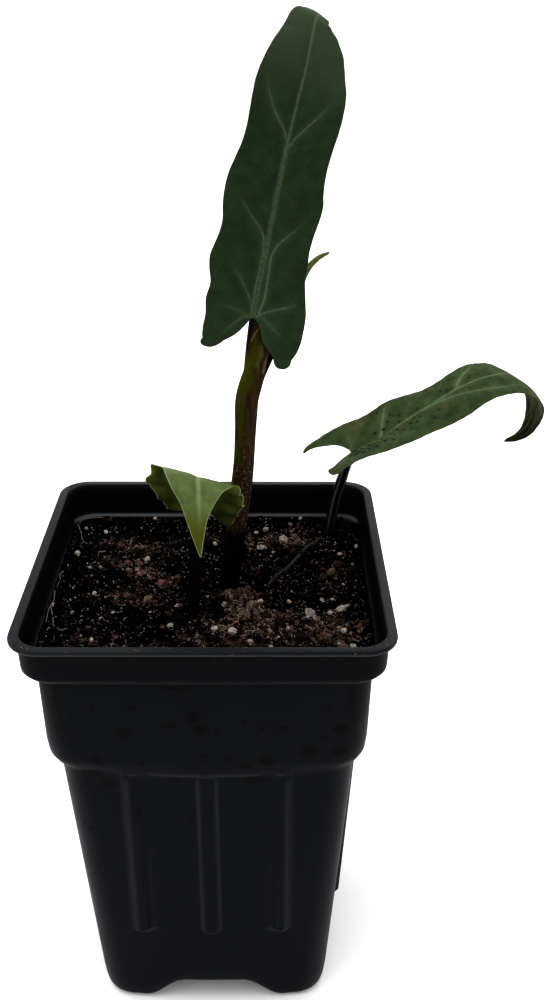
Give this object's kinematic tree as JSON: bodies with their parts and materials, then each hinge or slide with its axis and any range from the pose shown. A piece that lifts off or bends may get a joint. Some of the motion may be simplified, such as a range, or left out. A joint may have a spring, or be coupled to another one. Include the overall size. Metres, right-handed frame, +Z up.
{
  "type": "potted alocasia plant",
  "caption": "Young arrow-leaved alocasia with wavy upright and arching leaves on dark stalks, in a deep square black nursery pot filled with gritty potting mix.",
  "frame": {"origin": "centre of the pot's flat base, on the surface that the pot stands on", "axes": "+Z up along the pot's axis, -Y towards the pot's front side, +X to the right, where the arching leaf hangs over the rim"},
  "size_m": [0.1537, 0.1066, 0.2845],
  "materials": {
    "pot_plastic": "moulded polypropylene, satin, black",
    "potting_mix": "moist peat and bark with perlite grains",
    "tall_leaf": "waxy dark green leaf with paler veins",
    "arching_leaf": "waxy mid green leaf with pale veins",
    "young_leaf": "satin fresh green leaf with a pale edge",
    "dark_petiole": "smooth brown-black stalk, mottled pinkish brown",
    "rolled_leaf": "smooth pale olive rolled leaf",
    "dry_root": "dry fibrous root",
    "corm": "brown scaly corm with pale roots"
  },
  "bodies": {
    "root": {"pot": "pot_plastic", "potting_mix": "potting_mix", "tall_leaf_blade": "tall_leaf", "tall_leaf_petiole": "dark_petiole", "new_leaf_spear": "rolled_leaf", "arching_leaf_blade": "arching_leaf", "arching_leaf_petiole": "dark_petiole", "young_leaf_blade": "young_leaf", "young_leaf_petiole": "dark_petiole", "dry_root_strand": "dry_root", "main_corm": "corm", "offset_corm": "corm"}
  },
  "joints": []
}
